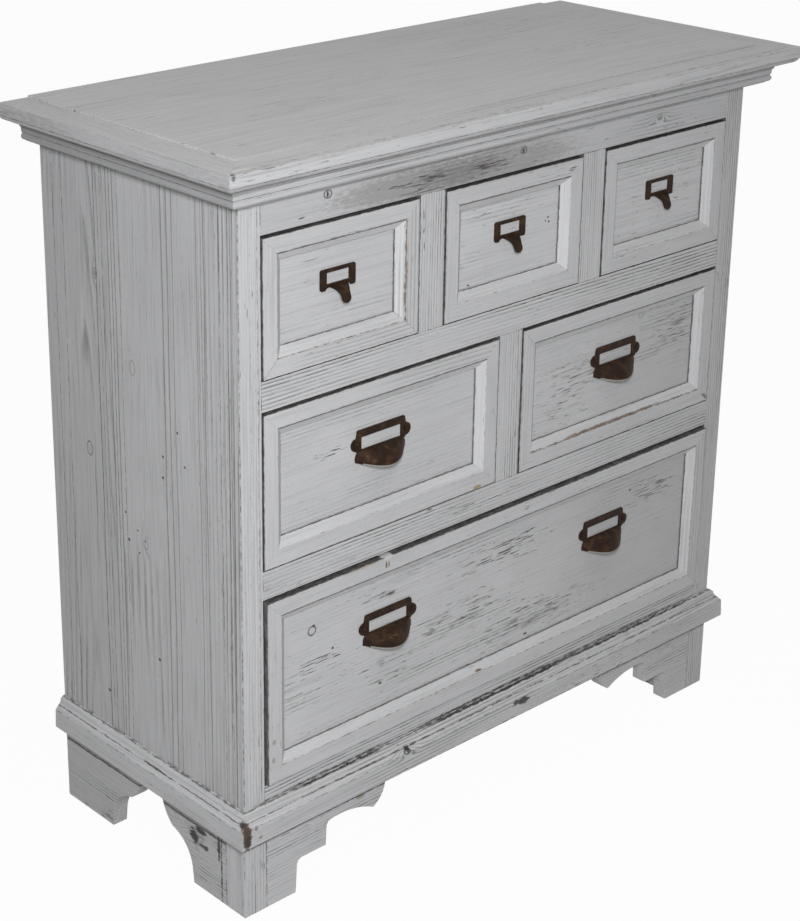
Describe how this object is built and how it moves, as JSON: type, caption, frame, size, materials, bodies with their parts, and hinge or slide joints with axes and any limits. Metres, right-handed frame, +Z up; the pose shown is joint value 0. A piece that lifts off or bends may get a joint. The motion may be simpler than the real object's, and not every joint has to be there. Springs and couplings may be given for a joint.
{
  "type": "chest of drawers",
  "caption": "Painted bracket-foot chest of drawers with rows of small, middle and wide framed drawers, label and cup pulls, moulded top and base.",
  "frame": {"origin": "on the floor under the middle of the top's outline", "axes": "+Z up, +X to the right as seen from the front, the drawer fronts face -Y"},
  "size_m": [0.9, 0.396, 0.88],
  "materials": {
    "painted_top": "greyed whitewash over pine, rubbed through at the edges",
    "painted_moulding": "greyed whitewash over pine with dark worn lines",
    "painted_side": "greyed whitewash over pine, upright grain and knots",
    "painted_frame": "greyed whitewash over pine with dark grain lines and cracks",
    "painted_drawer": "greyed whitewash over pine, brown rubbed bevels, dark stained edges",
    "bare_pine": "bare pine, planed",
    "aged_iron": "dark antique bronze finish, rubbed brown at the edges",
    "aged_screw": "dark antique finish"
  },
  "bodies": {
    "carcass": {"top_planks": "painted_top", "top_border_front": "painted_top", "top_border_left": "painted_top", "top_border_right": "painted_top", "cornice_front": "painted_moulding", "cornice_left": "painted_moulding", "cornice_right": "painted_moulding", "base_moulding_front": "painted_moulding", "base_moulding_left": "painted_moulding", "base_moulding_right": "painted_moulding", "side_left": "painted_side", "side_right": "painted_side", "bracket_left_front": "painted_side", "bracket_left_back": "painted_side", "bracket_right_front": "painted_side", "bracket_right_back": "painted_side", "stile_left": "painted_frame", "stile_right": "painted_frame", "rail_top": "painted_frame", "rail_upper": "painted_frame", "rail_lower": "painted_frame", "rail_bottom": "painted_frame", "mullions_upper": "painted_frame", "mullion_middle": "painted_frame", "foot_posts": "painted_frame", "bracket_front_left": "painted_frame", "bracket_front_right": "painted_frame", "back_panel": "bare_pine", "divider_upper": "bare_pine", "divider_lower": "bare_pine", "bottom_board": "bare_pine", "drawer_guides": "bare_pine", "glue_blocks": "bare_pine"},
    "drawer_1": {"drawer_1_frame": "painted_drawer", "drawer_1_panel": "painted_drawer", "drawer_1_box": "bare_pine", "drawer_1_pull": "aged_iron"},
    "drawer_2": {"drawer_2_frame": "painted_drawer", "drawer_2_panel": "painted_drawer", "drawer_2_box": "bare_pine", "drawer_2_pull": "aged_iron"},
    "drawer_3": {"drawer_3_frame": "painted_drawer", "drawer_3_panel": "painted_drawer", "drawer_3_box": "bare_pine", "drawer_3_pull": "aged_iron"},
    "drawer_4": {"drawer_4_frame": "painted_drawer", "drawer_4_panel": "painted_drawer", "drawer_4_box": "bare_pine", "drawer_4_pull": "aged_iron", "drawer_4_screws": "aged_screw"},
    "drawer_5": {"drawer_5_frame": "painted_drawer", "drawer_5_panel": "painted_drawer", "drawer_5_box": "bare_pine", "drawer_5_pull": "aged_iron", "drawer_5_screws": "aged_screw"},
    "drawer_6": {"drawer_6_frame": "painted_drawer", "drawer_6_panel": "painted_drawer", "drawer_6_box": "bare_pine", "drawer_6_pulls": "aged_iron", "drawer_6_screws": "aged_screw"}
  },
  "joints": [
    {"name": "drawer_1_slide", "type": "slide", "parent": "carcass", "child": "drawer_1", "axis": [0, -1, 0], "range_m": [0, 0.25]},
    {"name": "drawer_2_slide", "type": "slide", "parent": "carcass", "child": "drawer_2", "axis": [0, -1, 0], "range_m": [0, 0.25]},
    {"name": "drawer_3_slide", "type": "slide", "parent": "carcass", "child": "drawer_3", "axis": [0, -1, 0], "range_m": [0, 0.25]},
    {"name": "drawer_4_slide", "type": "slide", "parent": "carcass", "child": "drawer_4", "axis": [0, -1, 0], "range_m": [0, 0.25]},
    {"name": "drawer_5_slide", "type": "slide", "parent": "carcass", "child": "drawer_5", "axis": [0, -1, 0], "range_m": [0, 0.25]},
    {"name": "drawer_6_slide", "type": "slide", "parent": "carcass", "child": "drawer_6", "axis": [0, -1, 0], "range_m": [-0.004, 0.25]}
  ]
}
